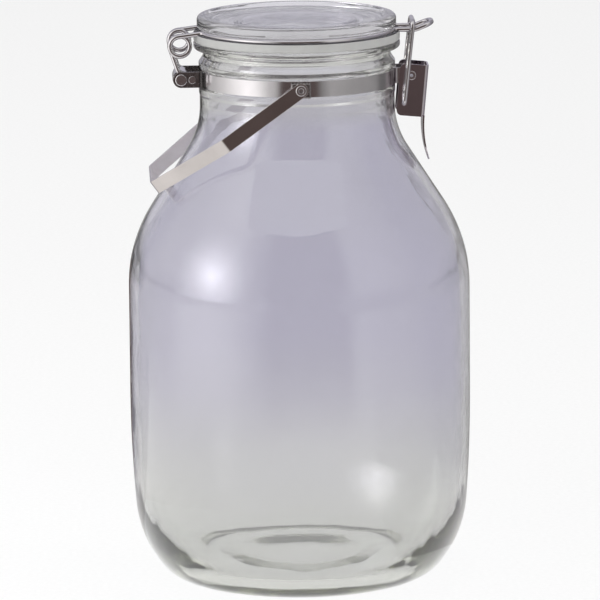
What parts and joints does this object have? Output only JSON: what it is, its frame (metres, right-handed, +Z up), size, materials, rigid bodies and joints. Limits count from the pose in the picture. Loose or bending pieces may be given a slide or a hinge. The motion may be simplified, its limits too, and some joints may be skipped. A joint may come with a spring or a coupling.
{
  "type": "clip-top glass canister",
  "caption": "Large round glass storage canister with a dished glass lid on a coiled wire hinge, a toggle lever latch, a steel neck band and a swinging strap handle.",
  "frame": {"origin": "on the jar's axis, on the surface that the jar stands on", "axes": "+Z up along the jar's axis, +X towards the toggle latch, -X towards the lid hinge; the handle pivots on the Y axis"},
  "size_m": [0.169, 0.169, 0.2804],
  "materials": {
    "jar_glass": "clear pressed glass",
    "lid_glass": "clear pressed glass",
    "gasket_silicone": "matte translucent silicone",
    "wire_steel": "polished stainless wire",
    "band_steel": "polished stainless strip",
    "lever_steel": "polished stainless sheet",
    "handle_steel": "polished stainless strip",
    "hardware_steel": "polished stainless"
  },
  "bodies": {
    "jar": {"glass_jar": "jar_glass", "hinge_rivet": "hardware_steel", "hinge_spacer": "hardware_steel", "hinge_clamp_rivet": "hardware_steel", "latch_rivet": "hardware_steel", "latch_spacer": "hardware_steel", "neck_band_front": "band_steel", "neck_band_back": "band_steel", "handle_lug_front": "band_steel", "handle_lug_back": "band_steel", "handle_washer_front": "hardware_steel", "handle_washer_back": "hardware_steel", "handle_rivet_front": "hardware_steel", "handle_rivet_back": "hardware_steel"},
    "lid": {"glass_lid": "lid_glass", "lid_gasket": "gasket_silicone", "lid_wire": "wire_steel"},
    "latch_lever": {"latch_lever": "lever_steel"},
    "latch_link": {"latch_link": "wire_steel"},
    "handle": {"handle_strap": "handle_steel"}
  },
  "joints": [
    {"name": "lid_hinge", "type": "hinge", "parent": "jar", "child": "lid", "pos_m": [-0.0572, 0, 0.25], "axis": [0, -1, 0], "range_deg": [0, 120]},
    {"name": "lever_swing", "type": "hinge", "parent": "jar", "child": "latch_lever", "pos_m": [0.056, 0, 0.25], "axis": [0, -1, 0], "range_deg": [0, 100]},
    {"name": "link_swing", "type": "hinge", "parent": "latch_lever", "child": "latch_link", "pos_m": [0.05222, 0, 0.23629], "axis": [0, -1, 0], "range_deg": [-88, 0]},
    {"name": "handle_swing", "type": "hinge", "parent": "jar", "child": "handle", "pos_m": [0, 0, 0.25], "axis": [0, 1, 0], "range_deg": [0, 251]}
  ],
  "couplings": [
    {"joint": "link_swing", "follows": "lever_swing", "ratio": -0.88}
  ]
}
